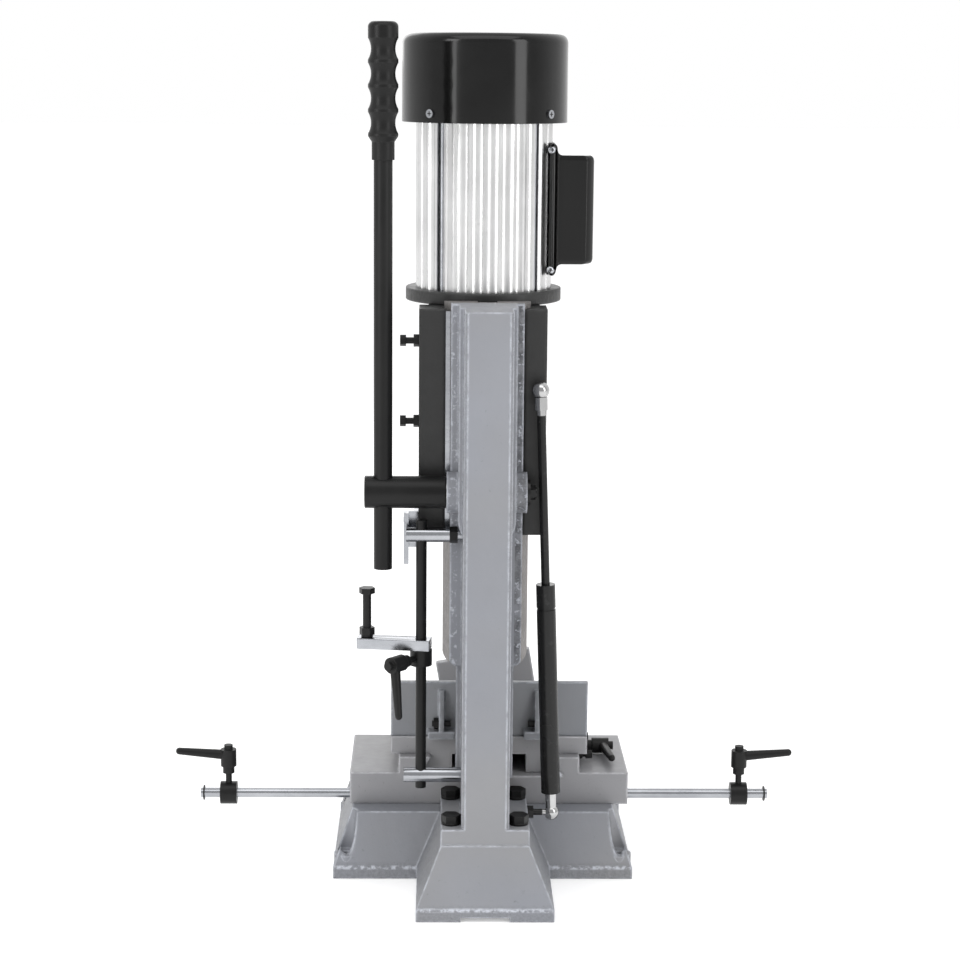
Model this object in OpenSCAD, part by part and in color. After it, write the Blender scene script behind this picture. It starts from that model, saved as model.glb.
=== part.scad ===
// Bench hollow chisel mortiser.
// X = 0 is the column's centre plane, Y = 0 the spindle's axis, Z = 0 the bench. The front is -Y.

/* [Base] */
// Height of the base's top face
base_h = 64; // [60:1:70]
// Height of the upright skirt round the base's foot
base_skirt = 11; // [8:1:14]
// Half width of the wings at the bench
wing_half = 144; // [140:1:152]
// Half width of the wings at the top face
wing_top_half = 126; // [122:1:130]
// Front edge of the wings at the bench, ahead of the spindle
wing_front = 107; // [104:1:112]
// Rear edge of the wings at the bench, behind the spindle
wing_rear = 87; // [85:1:92]
// How far the wings' front and rear faces lean in towards the top
wing_lean = 10; // [8:1:12]
// Half width of the rear foot at the bench
foot_half = 63.5; // [60:0.5:68]
// Rear edge of the rear foot at the bench
foot_rear = 200; // [196:1:208]
// Wall of the base casting
base_wall = 9; // [8:1:10]
// Radius of the holes for the bench bolts
bench_hole_r = 4.5; // [3.5:0.25:5]

/* [Column] */
// Height of the column's foot plate
foot_plate_t = 15.4; // [13:0.2:18]
// Half width of the foot plate
foot_plate_half = 41; // [40:0.5:43]
// Height of the column's top above the bench
column_top = 557; // [550:1:570]
// Rear face of the column, behind the spindle
column_rear = 175; // [172:1:180]
// Half width of the column's rib
rib_half = 22; // [20:0.5:24]
// Half width of the dovetail way at its front face
way_front_half = 40; // [39:0.5:42]
// Half width of the dovetail way at its root
way_root_half = 33.5; // [32.5:0.5:34.5]
// Front face of the dovetail way, behind the spindle
way_front = 78; // [77:0.5:79]
// Depth of the dovetail way
way_depth = 18; // [16:0.5:20]
// Lower end of the dovetail way
way_bottom = 217; // [205:1:225]

/* [Head] */
// Lower face of the head
head_bottom = 340; // [335:1:345]
// Upper face of the head
head_top = 551; // [548:1:552]
// Sideways offset of the spindle and motor from the column
spindle_x = 2.5; // [0:0.5:3]
// Thickness of the head's gib
gib_t = 4.5; // [4:0.25:5]
// Width of the square chisel
chisel_w = 12.7; // [11.5:0.1:14]
// Length of the chisel below its shoulder
chisel_l = 112; // [100:1:116]
// Pitch radius of the feed pinion, also half its count of teeth in this module
feed_r = 32; // [31:1:32]

/* [Motor] */
// Radius of the motor's body
motor_r = 64.5; // [63:0.5:66]
// Length of the motor's body
motor_l = 155.5; // [145:0.5:165]
// Radius of the mounting flange
flange_r = 74; // [72:0.5:75]
// Thickness of the mounting flange
flange_t = 12; // [11:0.5:13]
// Radius of the fan cover
cover_r = 78; // [77:0.5:80]
// Height of the fan cover
cover_h = 82; // [78:1:90]
// Count of flutes round the motor's body
flutes = 32; // [24:4:32]

/* [Feed lever] */
// Height of the pinion shaft's axis
shaft_z = 384; // [382:1:386]
// Distance of the pinion shaft's axis behind the spindle
shaft_y = 114; // [113.5:0.5:114.5]
// Sideways place of the lever's rod
lever_x = 95.5; // [95:0.5:97]
// Radius of the lever's rod
lever_r = 8.5; // [7.5:0.25:9]
// Top of the lever's grip
grip_top = 809; // [800:1:815]
// Length of the lever's grip
grip_l = 122; // [110:1:130]

/* [Table] */
// Width of the cross slide block
block_w = 270; // [262:1:276]
// Sideways centre of the table
table_x = -6; // [-7:0.5:-5]
// Height of the cross slide block's shoulders above the base
block_h = 31.4; // [30:0.2:33]
// Height of the block's raised middle above its shoulders
rise_h = 15.6; // [15:0.2:17]
// Half width of the raised middle
rise_half = 87.5; // [85:0.5:90]
// Half width of the table slide
slide_half = 95.5; // [92:0.5:98]
// Thickness of the table slide's plate
slide_t = 17.5; // [16:0.5:19]
// Thickness of the work table's plate
plate_t = 7.2; // [6:0.2:9]
// Height of the fence above the work table
fence_h = 47; // [40:1:52]
// Front face of the fence, behind the spindle
fence_front = 34; // [32:0.5:35]
// Thickness of the fence
fence_t = 6; // [5:0.25:7]

/* [Stops] */
// Radius of the travel rod
rod_r = 4.75; // [4:0.25:5]
// Half length of the travel rod
rod_half = 276; // [270:1:285]
// Length of a stop collar
collar_l = 16; // [14:0.5:18]
// Radius of a stop collar
collar_r = 11; // [10:0.5:12]
// Length of a clamp lever's arm
lever_l = 51; // [44:1:54]
// Radius of the depth rod
depth_r = 5; // [4.5:0.25:5.5]
// Sideways place of the depth rod
depth_x = 60; // [59:0.5:61]

/* [Gas strut] */
// Radius of the strut's cylinder
strut_r = 9; // [8.5:0.25:9.5]
// Radius of the strut's rod
strut_rod_r = 4; // [3.5:0.25:4.5]
// Radius of the ball studs
ball_r = 5; // [4.5:0.25:5.25]

/* [Hidden] */
$fn = 48;
running = 0.05;
slide_gap = 0.15;
e = 0.5;

// Base
foot_top_rear = column_rear;
foot_top_half = foot_plate_half;
bench_x = wing_half - 12.5;
bench_y = 74;
bench_boss_r = 12;
bench_boss_h = 22;
way_x_y = -5;
way_x_half = 30;
way_x_h = 12;
way_x_slope = tan(30);

// Column
plate_front = 60;
plate_top = base_h + foot_plate_t;
way_root = way_front + way_depth;
web_front = 65;
web_half = 27;
web_low_half = 20;
root_t = 12;
mid_half = 26.5;
mid_front = way_root + root_t;
mid_rear = 140;
mid_bottom = 336;
boss_r = 19;
boss_half = 37;
slot_half = 9;
slot_depth = 12;
shaft_r = 10;
rib_wall = 9;
bolt_x = 31.5;
bolt_y = [80, 156];

// Feed gearing
module_mm = 2;
tooth_pitch = PI * module_mm;
rack_line = shaft_y - feed_r;
feed_teeth = round(2 * feed_r / module_mm);
pinion_half = 7.5;
chamber_r = feed_r + 4;

// Head
head_left = -55;
head_right = 63;
wing_rear_y = way_root - 1;
body_half = 52;
body_front = -52;
body_edge = 8;
chamber_half = 38;
chamber_front = -42;
chamber_rear = 50;
chamber_z = head_bottom + 68;
roof_z = head_top - 14;
door_pin_x = spindle_x - 40;
door_pin_y = body_front - 4;
bush_r = 14.3;
shank_r = 9.5;
bush_l = 54;
boss_outer_r = 30;
gib_y = (way_front + wing_rear_y) / 2;
gib_z = [head_bottom + 31, head_bottom + 106, head_bottom + 181];
gib_screw_r = 3;
switch_z = [chamber_z + 98, head_top - 1];
button_z = (switch_z[0] + switch_z[1]) / 2;
button_r = 10;
button_at = 17;
switch_half = 36;
switch_deep = 30;
motor_shaft_r = 8.5;
bearing_r = 20;

// Motor
flange_top = head_top + flange_t;
motor_top = flange_top + motor_l;
motor_wall = 10.5;
stator_r = motor_r - motor_wall;
stator_bore = 31;
cover_top = motor_top + cover_h;
cover_wall = 2.5;
capacitor_h = 102;
capacitor_w = 54;
capacitor_t = 38.5;
capacitor_bevel = [6.5, 7];
saddle_t = 3.5;
plate_tab = 11;
fan_r = 60;
fan_hub_r = 15;
fan_z = motor_top + 22;
fan_plate_t = 2.5;
shield_t = 12;
tie_turn = 45 + 4.3;
tie_r = 2.5;
tie_at = motor_r - 4.5;

// Table heights
block_top = base_h + block_h;
rise_top = block_top + rise_h;
slide_top = rise_top + slide_t;
table_top = slide_top + plate_t;
block_left = table_x - block_w / 2;
block_right = table_x + block_w / 2;
block_front = -73;
block_rear = 53;
tail_h = 18.8;
tail_top_half = 56.6;
tail_slope = tan(30);
tail_floor = rise_top - tail_h;
tail_low_half = tail_top_half + tail_h * tail_slope;
y_gib_t = 4;
gib_screw_z = rise_top - 7;
y_gib_screw_y = [-40, 20];
table_lock_turn = 88;
table_lock_y = -10;
nut_lug = [8, 26];
gusset_at = 46.5;
table_screw_x = 80;
table_screw_y = [-60, 20];
rack_groove = 124;
gib_face = table_x - tail_top_half - y_gib_t - 7 * tail_slope;
tunnel_half = 36;
slide_front = -75;
slide_rear = 42;
screw_z = tail_floor + 9.3;
screw_r = 6;
y_wheel_front = -166;
clamp_z = table_top + 20.3;
clamp_y = -222;
jaw_y = -47;
jaw_lift = 9.4;
rod_z = base_h + 8;
rod_y = 44;
rod_x = -2;
x_wheel_z = base_h - 20;
x_pinion_r = 23;
x_pinion_y = -55;
x_teeth = round(2 * x_pinion_r / module_mm);
x_rack_line = x_wheel_z + x_pinion_r;
rack_back = 9;

// Stops
lever_below = 72;
lever_screw_r = 3;
screw_tip_r = lever_screw_r - 0.2;
lever_gap = 9.3;
lever_rise = 7;
lever_tip_r = 3.4;
collar_right = rod_x + rod_half - 19 - collar_l;
collar_left = rod_x - rod_half + 20;
upper_pin_z = mid_bottom + 8;
lower_pin_z = 113;
pin_nut = 13.4;
pin_nut_t = 7.5;
depth_rod_low = 101;
depth_rod_high = 358;
bar_z = 235;
bar_t = 10;
bar_yaw = -8;
depth_screw_yaw = 50;
depth_collar_r = 10.3;
depth_bolt_r = 4;
bar_reach = 51;
collar_h = 15;
bracket_low = 314;

// Strut
socket_r = ball_r + 2.4;
strut_low = [-64, 107, 74];
strut_high = [-49, 107, 478];
strut_len = norm(strut_high - strut_low);
strut_tilt = atan((strut_high[0] - strut_low[0]) / (strut_high[2] - strut_low[2]));

// Helpers: round bars along an axis, boxes by their faces, outlines pushed along an axis
module xcyl(r, x0, x1, y, z) { translate([x0, y, z]) rotate([0, 90, 0]) cylinder(r = r, h = x1 - x0); }
module ycyl(r, y0, y1, x, z) { translate([x, y1, z]) rotate([90, 0, 0]) cylinder(r = r, h = y1 - y0); }
module zcyl(r, z0, z1, x, y) { translate([x, y, z0]) cylinder(r = r, h = z1 - z0); }
module box(x0, x1, y0, y1, z0, z1) { translate([x0, y0, z0]) cube([x1 - x0, y1 - y0, z1 - z0]); }
module along_x(x0, x1) { translate([x0, 0, 0]) rotate([90, 0, 90]) linear_extrude(x1 - x0) children(); }
module along_y(y0, y1) { translate([0, y1, 0]) rotate([90, 0, 0]) linear_extrude(y1 - y0) children(); }
module along_z(z0, z1) { translate([0, 0, z0]) linear_extrude(z1 - z0) children(); }
module hex(f, h) { cylinder(r = f / sqrt(3), h = h, $fn = 6); }
module xhex(f, x0, x1, y, z) { translate([x0, y, z]) rotate([0, 90, 0]) hex(f, x1 - x0); }
module yhex(f, y0, y1, x, z) { translate([x, y1, z]) rotate([90, 0, 0]) hex(f, y1 - y0); }
module zhex(f, z0, z1, x, y) { translate([x, y, z0]) hex(f, z1 - z0); }

// A leaning side with an upright skirt below it, as an outline
module leaning(low0, low1, top0, top1, skirt, h) {
    polygon([[low0, 0], [low1, 0], [low1, skirt], [top1, h], [top0, h], [low0, skirt]]);
}

module frustum(x0, x1, y0, y1, y2, y3, skirt, h) {
    intersection() {
        along_y(y0 - e, y1 + e) leaning(-x0, x0, -x1, x1, skirt, h);
        along_x(-x0 - e, x0 + e) leaning(y0, y1, y2, y3, skirt, h);
    }
}

// The male dovetail that the block slides on along X, grown all round by a gap
module cross_way(gap) {
    y0 = way_x_y - way_x_half - gap;
    y1 = way_x_y + way_x_half + gap;
    grow = way_x_h * way_x_slope;
    polygon([[y0, base_h - e], [y1, base_h - e], [y1, base_h], [y1 + grow, base_h + way_x_h],
        [y1 + grow, base_h + way_x_h + gap], [y0 - grow, base_h + way_x_h + gap],
        [y0 - grow, base_h + way_x_h], [y0, base_h]]);
}

module base_cavity() {
    inner = wing_top_half - base_wall;
    front = -wing_front + wing_lean + base_wall + 4;
    rear = wing_rear - wing_lean - base_wall - 4;
    roof = base_h - base_wall;
    foot_inner = foot_top_half - base_wall - 2;
    box(-inner, -x_pinion_r - 20, front, rear, -e, roof);
    box(x_pinion_r + 8, inner, front, rear, -e, roof);
    box(-x_pinion_r - 10, x_pinion_r - 2, front + 6, x_pinion_y + 12, -e, roof);
    box(-x_pinion_r - 10, x_pinion_r - 2, x_pinion_y + 22, rear, -e, roof);
    box(-foot_inner, foot_inner, rear + base_wall, foot_top_rear - base_wall - 8, -e, roof - 4);
}

module base_casting() {
    color("#8f9299") {
        difference() {
            union() {
                frustum(wing_half, wing_top_half, -wing_front, wing_rear,
                    -wing_front + wing_lean, wing_rear - wing_lean, base_skirt, base_h);
                frustum(foot_half, foot_top_half, 20, foot_rear, 20, foot_top_rear, base_skirt + 1, base_h);
                along_x(-wing_top_half, wing_top_half) cross_way(0);
                for (sx = [-1, 1], y = [-bench_y, bench_y])
                    zcyl(bench_boss_r, 0, bench_boss_h, sx * bench_x, y);
                box(rod_x - 8, rod_x + 8, rod_y - 6, rod_y + 6, base_h - e, rod_z + rod_r + 2);
            }
            base_cavity();
            for (sx = [-1, 1], y = [-bench_y, bench_y]) {
                zcyl(bench_hole_r, -e, base_h, sx * bench_x, y);
                zcyl(bench_boss_r - 1.5, bench_boss_h, base_h + e, sx * bench_x, y);
            }
            for (sx = [-1, 1], y = bolt_y)
                zcyl(5, base_h - 25, base_h + e, sx * bolt_x, y);
            xcyl(rod_r, rod_x - 9, rod_x + 9, rod_y, rod_z);
            box(-x_pinion_r + table_x - 4, x_pinion_r + table_x + 4, x_pinion_y - 8, x_pinion_y + 8,
                x_wheel_z - x_pinion_r - 4, base_h + e);
            ycyl(6 + running, -wing_front - 1, x_pinion_y + 23, table_x, x_wheel_z);
            box(-22.5, 22.5, foot_rear - 20, foot_rear + 1, -e, 4);
        }
    }
}

module way_outline(gap) {
    polygon([[-way_front_half - gap, way_front - gap], [way_front_half + gap, way_front - gap],
        [way_front_half + gap, way_front], [way_root_half + gap, way_root],
        [-way_root_half - gap, way_root], [-way_front_half - gap, way_front]]);
}

module rounded_foot(half, low, high, r) {
    translate([-half + r, low]) square([2 * (half - r), high - low]);
    translate([-half, low + r]) square([2 * half, high - low - r]);
    for (sx = [-1, 1])
        translate([sx * (half - r), low + r]) circle(r);
}

module column() {
    bevel = 3;
    color("#8f9299") {
        difference() {
            union() {
                box(-foot_plate_half, foot_plate_half, plate_front, column_rear, base_h, plate_top);
                along_z(plate_top - e, column_top)
                    polygon([[-rib_half, way_root - 4], [rib_half, way_root - 4],
                        [rib_half, column_rear - bevel], [rib_half - bevel, column_rear],
                        [-rib_half + bevel, column_rear], [-rib_half, column_rear - bevel]]);
                box(-web_half, web_half, web_front, way_root + 1, plate_top + 25, way_bottom + 20);
                box(-web_low_half, web_low_half, web_front, way_root + 1, plate_top - e, plate_top + 26);
                along_y(mid_front - 1, mid_rear) {
                    translate([0, mid_bottom + mid_half]) circle(mid_half);
                    translate([-mid_half, mid_bottom + mid_half])
                        square([2 * mid_half, column_top - mid_bottom - mid_half]);
                }
                along_y(way_root - 1, mid_front) rounded_foot(way_root_half, way_bottom, column_top, 7);
                intersection() {
                    along_z(way_bottom, column_top) way_outline(0);
                    along_y(way_front - e, way_root + e)
                        rounded_foot(way_front_half, way_bottom, column_top, 8);
                }
                xcyl(boss_r, -boss_half, boss_half, shaft_y, shaft_z);
            }
            box(-slot_half, slot_half, way_front - e, way_front + slot_depth,
                way_bottom + 8, column_top + e);
            box(-rib_half + rib_wall, rib_half - rib_wall, way_root + rib_wall, column_rear - rib_wall,
                base_h - e, shaft_z - chamber_r - rib_wall);
            xcyl(chamber_r, -slot_half, slot_half, shaft_y, shaft_z);
            xcyl(shaft_r + running, -boss_half - e, boss_half + e, shaft_y, shaft_z);
            xcyl(5, 12, mid_half + e, shaft_y, upper_pin_z);
            xcyl(pin_nut / sqrt(3) + 0.6, mid_half, way_root_half + e, shaft_y, upper_pin_z);
            xcyl(5, 8, rib_half + e, shaft_y, lower_pin_z);
            xcyl(3, -foot_plate_half - e, -foot_plate_half + 12, strut_low[1], strut_low[2]);
            for (sx = [-1, 1], y = bolt_y)
                zcyl(5.25, base_h - e, plate_top + e, sx * bolt_x, y);
        }
    }
}

module column_bolts() {
    washer_t = 2;
    color("#202124") {
        for (sx = [-1, 1], y = bolt_y) {
            zcyl(5, base_h - 22, plate_top + e, sx * bolt_x, y);
            zcyl(9, plate_top, plate_top + washer_t, sx * bolt_x, y);
            zhex(16, plate_top + washer_t, plate_top + washer_t + 7, sx * bolt_x, y);
        }
        difference() {
            xhex(pin_nut, mid_half, mid_half + pin_nut_t, shaft_y, upper_pin_z);
            xcyl(5, mid_half - e, mid_half + pin_nut_t + e, shaft_y, upper_pin_z);
        }
    }
}

module depth_pins() {
    color("#c9ccd0") {
        difference() {
            union() {
                xcyl(5, 14, mid_half + 10, shaft_y, upper_pin_z);
                xcyl(7, mid_half + pin_nut_t, depth_x + 14, shaft_y, upper_pin_z);
                xcyl(5, 10, rib_half + e, shaft_y, lower_pin_z);
                xcyl(7, rib_half, depth_x + 16, shaft_y, lower_pin_z);
            }
            zcyl(depth_r, lower_pin_z - 8, lower_pin_z + 8, depth_x, shaft_y);
            zcyl(depth_r, upper_pin_z - 8, upper_pin_z + 8, depth_x, shaft_y);
        }
    }
}

module depth_rod() {
    color("#2a2b2e") zcyl(depth_r, depth_rod_low, depth_rod_high, depth_x, shaft_y);
}

module ball_and_neck(neck) {
    sphere(ball_r);
    translate([0, 0, -neck]) cylinder(r = 3, h = neck);
}

module strut_lower_stud() {
    color("#2a2b2e") {
        translate(strut_low) rotate([0, -90, 0]) ball_and_neck(20);
        xhex(11, -foot_plate_half - 6, -foot_plate_half, strut_low[1], strut_low[2]);
        xcyl(3, -foot_plate_half - 4, -foot_plate_half + 12, strut_low[1], strut_low[2]);
    }
}

module travel_rod() {
    color("#d4d6d9") xcyl(rod_r, rod_x - rod_half, rod_x + rod_half, rod_y, rod_z);
}

module rod_clips() {
    clip_in = 3;
    color("#b5b7ba") {
        for (sx = [-1, 1]) {
            x = rod_x + sx * (rod_half - clip_in);
            difference() {
                xcyl(rod_r + 2.5, x - 0.6, x + 0.6, rod_y, rod_z);
                xcyl(rod_r, x - 1, x + 1, rod_y, rod_z);
            }
        }
    }
}

// The table's Y dovetail, grown by a gap at the left and by the gib at the right
module table_tail(left, right, gap) {
    polygon([[table_x - tail_top_half - left, rise_top + e],
        [table_x + tail_top_half + right, rise_top + e],
        [table_x + tail_top_half + right, rise_top],
        [table_x + tail_low_half + right, tail_floor],
        [table_x + tail_low_half + right, tail_floor - gap],
        [table_x - tail_low_half - left, tail_floor - gap],
        [table_x - tail_low_half - left, tail_floor], [table_x - tail_top_half - left, rise_top]]);
}

module cross_slide_block() {
    end_wall = 22;
    lug_half = 15;
    color("#93969d") {
        difference() {
            union() {
                difference() {
                    union() {
                        box(block_left, block_right, block_front, block_rear, base_h, block_top);
                        box(table_x - rise_half, table_x + rise_half, block_front, block_rear,
                            block_top - e, rise_top);
                    }
                    along_y(block_front - e, block_rear + e)
                        table_tail(y_gib_t + slide_gap, slide_gap, slide_gap);
                }
                box(table_x - lug_half, table_x + lug_half, nut_lug[0], nut_lug[1],
                    tail_floor - 1, rise_top - 1.5);
            }
            ycyl(screw_r + running, nut_lug[0] - 1, nut_lug[1] + 1, table_x, screw_z);
            along_x(block_left - e, block_right + e) cross_way(slide_gap);
            box(block_left + end_wall, block_right - end_wall, rod_y - 7, rod_y + 7,
                base_h - e, rod_z + rod_r + 3);
            xcyl(rod_r + running, block_left - e, block_right + e, rod_y, rod_z);
            box(table_x - rack_groove, table_x + rack_groove, x_pinion_y - 8.5, x_pinion_y + 8.5,
                base_h - e, x_rack_line + rack_back);
            for (y = y_gib_screw_y)
                xcyl(2.5, table_x - rise_half - e, table_x - tail_top_half, y, gib_screw_z);
            xcyl(lever_screw_r + running, table_x - rise_half - e, table_x - tail_top_half,
                table_lock_y, gib_screw_z);
        }
    }
}

// A straight rack: teeth with their tips at 0, its back above, along the first axis
module rack_outline(teeth, back) {
    deep = 2.1 * module_mm;
    translate([-(teeth + 1) / 2 * tooth_pitch, deep]) square([(teeth + 1) * tooth_pitch, back]);
    for (i = [-(teeth - 1) / 2 : (teeth - 1) / 2])
        translate([i * tooth_pitch, 0])
            polygon([[-2.2, deep + 0.1], [-0.75, 0], [0.75, 0], [2.2, deep + 0.1]]);
}

module gear_outline(teeth, turn) {
    pitch_r = teeth * module_mm / 2;
    tip = pitch_r + 0.9 * module_mm;
    root = pitch_r - 1.2 * module_mm;
    step = 360 / teeth;
    polygon([for (i = [0 : teeth - 1], p = [[-0.34, root], [-0.1, tip], [0.1, tip], [0.34, root]])
        p[1] * [cos(turn + (i + p[0]) * step), sin(turn + (i + p[0]) * step)]]);
}

module x_rack() {
    x_teeth_long = 37;
    color("#5b5d61")
        along_y(x_pinion_y - 7, x_pinion_y + 7)
            translate([table_x, x_rack_line - 0.9 * module_mm])
                rack_outline(x_teeth_long, rack_back - 1.2 * module_mm);
}

module y_gib() {
    gib_top = table_x - tail_top_half - tail_slope;
    color("#b9bbbe")
        along_y(block_front, block_rear)
            polygon([[gib_top - y_gib_t, rise_top - 1], [gib_top - 0.1, rise_top - 1],
                [table_x - tail_low_half - 0.1, tail_floor],
                [table_x - tail_low_half - y_gib_t, tail_floor]]);
}

module y_gib_screws() {
    face = table_x - rise_half;
    color("#202124") {
        for (y = y_gib_screw_y) {
            xcyl(2.5, face - 14, gib_face - 2.5 * tail_slope - 0.05, y, gib_screw_z);
            xhex(8, face - 5, face, y, gib_screw_z);
            xhex(7.5, face - 14.5, face - 8, y, gib_screw_z);
        }
    }
}

// A clamp lever on its bare screw, which stands on its seat at 0: hub, cap and an arm that rises to its tip
module clamp_lever(reach) {
    cylinder(r = lever_screw_r, h = lever_gap + 1);
    translate([0, 0, lever_gap]) cylinder(r = 5.6, h = 8);
    translate([0, 0, lever_gap + 7]) cylinder(r = 7.6, h = 16.5);
    translate([0, 0, lever_gap + 23]) cylinder(r = 4.2, h = 5);
    translate([3, 0, lever_gap + 18]) rotate([0, 90 - lever_rise, 0]) {
        cylinder(r1 = 4.9, r2 = lever_tip_r, h = reach - 3 - lever_tip_r);
        translate([0, 0, reach - 3 - lever_tip_r]) sphere(lever_tip_r);
    }
}

module table_lock_lever() {
    face = table_x - rise_half;
    color("#1b1c1e") {
        translate([face, table_lock_y, gib_screw_z])
            rotate([0, -90, 0])
                rotate([0, 0, table_lock_turn])
                    clamp_lever(lever_l);
        xcyl(screw_tip_r, face - 1, gib_face - lever_screw_r * tail_slope - 0.1, table_lock_y, gib_screw_z);
    }
}

// A handwheel about a hub: rim, three spokes, hub
module wheel(r, hub, deep) {
    rotate_extrude() translate([r - 5, 0]) circle(5);
    for (a = [90 : 120 : 330])
        rotate([0, 0, a]) translate([0, -4, -3]) cube([r - 5, 8, 6]);
    translate([0, 0, -deep]) cylinder(r = hub, h = 2 * deep);
}

module x_pinion_shaft() {
    color("#6d6f73") {
        ycyl(6, -wing_front - 24, x_pinion_y + 22, table_x, x_wheel_z);
        along_y(x_pinion_y - 6, x_pinion_y + 6)
            translate([table_x, x_wheel_z]) gear_outline(x_teeth, 90 + 180 / x_teeth);
    }
}

module wheel_on(r, hub, front, x, z, bore) {
    difference() {
        translate([x, front + 10, z]) rotate([90, 0, 0]) wheel(r, hub, 10);
        ycyl(bore, front - e, front + 21, x, z);
    }
}

module x_handwheel() {
    color("#1b1c1e") wheel_on(36, 11, -wing_front - 23, table_x, x_wheel_z, 6);
}

module table_slide() {
    color("#93969d") {
        difference() {
            union() {
                box(table_x - slide_half, table_x + slide_half, slide_front, slide_rear,
                    rise_top, slide_top);
                along_y(slide_front, slide_rear)
                    polygon([[table_x - tail_top_half, rise_top + e], [table_x + tail_top_half, rise_top + e],
                        [table_x + tail_top_half, rise_top], [table_x + tail_low_half, tail_floor],
                        [table_x - tail_low_half, tail_floor], [table_x - tail_top_half, rise_top]]);
            }
            box(table_x - tunnel_half, table_x + tunnel_half, slide_front + 12, slide_rear + e,
                tail_floor - e, rise_top);
            ycyl(5 + running, slide_front - e, slide_front + 13, table_x, screw_z);
        }
    }
}

module work_table() {
    gusset_t = 5;
    rear = fence_front + fence_t;
    color("#93969d") {
        difference() {
            union() {
                box(table_x - slide_half, table_x + slide_half, slide_front - 5, rear,
                    slide_top, table_top);
                box(table_x - slide_half, table_x + slide_half, fence_front, rear,
                    table_top - e, table_top + fence_h);
                for (sx = [-1, 1]) {
                    box(table_x + sx * gusset_at - 13, table_x + sx * gusset_at + 13, rear - e, rear + 12,
                        slide_top, table_top);
                    middle = table_x + sx * gusset_at;
                    along_x(middle - gusset_t / 2, middle + gusset_t / 2)
                        polygon([[rear - e, table_top - e], [rear + 11.5, table_top - e],
                            [rear + 11.5, table_top + 12], [rear + 4, table_top + fence_h - 8],
                            [rear - e, table_top + fence_h - 8]]);
                }
            }
            for (sx = [-1, 1])
                xcyl(3, table_x + sx * gusset_at - 5, table_x + sx * gusset_at + 5,
                    rear + 6, table_top + 7);
            for (sx = [-1, 1], y = table_screw_y)
                zcyl(3, slide_top - e, table_top + e, table_x + sx * table_screw_x, y);
        }
    }
}

module fence_bolts() {
    color("#202124") {
        for (sx = [-1, 1]) {
            x = table_x + sx * gusset_at;
            xcyl(3, x - 9, x + 9, fence_front + fence_t + 6, table_top + 7);
            xhex(9.8, x + sx * 5 - 2.5, x + sx * 5 + 2.5, fence_front + fence_t + 6, table_top + 7);
        }
        for (sx = [-1, 1], y = table_screw_y)
            zcyl(3, slide_top, table_top - 0.3, table_x + sx * table_screw_x, y);
    }
}

module clamp_bracket() {
    front = slide_front - 5;
    color("#1f2023")
        difference() {
            union() {
                box(table_x - 19, table_x + 19, front - 16, front, slide_top - 10, clamp_z);
                ycyl(19, front - 24, front, table_x, clamp_z);
            }
            ycyl(8 + running, front - 25, front + 1, table_x, clamp_z);
        }
}

module y_leadscrew() {
    color("#a8abaf") {
        ycyl(screw_r, slide_front + 12, slide_rear - 2, table_x, screw_z);
        ycyl(5, y_wheel_front + 1, slide_front + 13, table_x, screw_z);
        ycyl(9, slide_front - 5, slide_front, table_x, screw_z);
    }
}

module y_handwheel() {
    color("#1b1c1e") wheel_on(42, 12, y_wheel_front, table_x, screw_z, 5);
}

module clamp_jaw() {
    jaw_half = 47.5;
    jaw_h = 40;
    color("#93969d") {
        difference() {
            union() {
                translate([table_x, 0, clamp_z]) rotate([0, jaw_lift, 0])
                    box(-jaw_half, jaw_half, jaw_y, jaw_y + 7, -7, jaw_h - 7);
                ycyl(14, jaw_y - 12, jaw_y + e, table_x, clamp_z);
            }
            ycyl(6 + running, jaw_y - 13, jaw_y - 3, table_x, clamp_z);
        }
    }
}

module clamp_screw() {
    color("#a8abaf") {
        ycyl(8, clamp_y + 20, jaw_y - 12.5, table_x, clamp_z);
        ycyl(6, clamp_y + 1, jaw_y - 3.5, table_x, clamp_z);
    }
}

module clamp_handwheel() {
    color("#1b1c1e") wheel_on(30, 11, clamp_y, table_x, clamp_z, 6);
}

module stop_collar(x) {
    difference() {
        xcyl(collar_r, x, x + collar_l, rod_y, rod_z);
        xcyl(rod_r + running, x - e, x + collar_l + e, rod_y, rod_z);
        zcyl(lever_screw_r + running, rod_z, rod_z + collar_r + e, x + collar_l / 2, rod_y);
    }
}

module stop_collar_left() {
    color("#1b1c1e") stop_collar(collar_left);
}

module stop_collar_right() {
    color("#1b1c1e") stop_collar(collar_right);
}

module stop_lever(x, turn) {
    top = rod_z + collar_r;
    translate([x + collar_l / 2, rod_y, top]) rotate([0, 0, turn]) clamp_lever(lever_l);
    zcyl(screw_tip_r, rod_z + rod_r + 0.3, top + 1, x + collar_l / 2, rod_y);
}

module stop_lever_left() {
    color("#1b1c1e") stop_lever(collar_left, 172);
}

module stop_lever_right() {
    color("#1b1c1e") stop_lever(collar_right, 8);
}

module at_depth_rod() {
    translate([depth_x, shaft_y, 0]) rotate([0, 0, bar_yaw]) children();
}

module at_depth_screw() {
    translate([depth_x, shaft_y, bar_z - collar_h / 2])
        rotate([0, 0, depth_screw_yaw])
            rotate([0, 90, 0])
                children();
}

module depth_collar() {
    color("#1b1c1e")
        difference() {
            zcyl(depth_collar_r, bar_z - collar_h, bar_z, depth_x, shaft_y);
            zcyl(depth_r + running, bar_z - collar_h - e, bar_z + e, depth_x, shaft_y);
            at_depth_screw() cylinder(r = lever_screw_r + running, h = depth_collar_r + e);
        }
}

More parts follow.
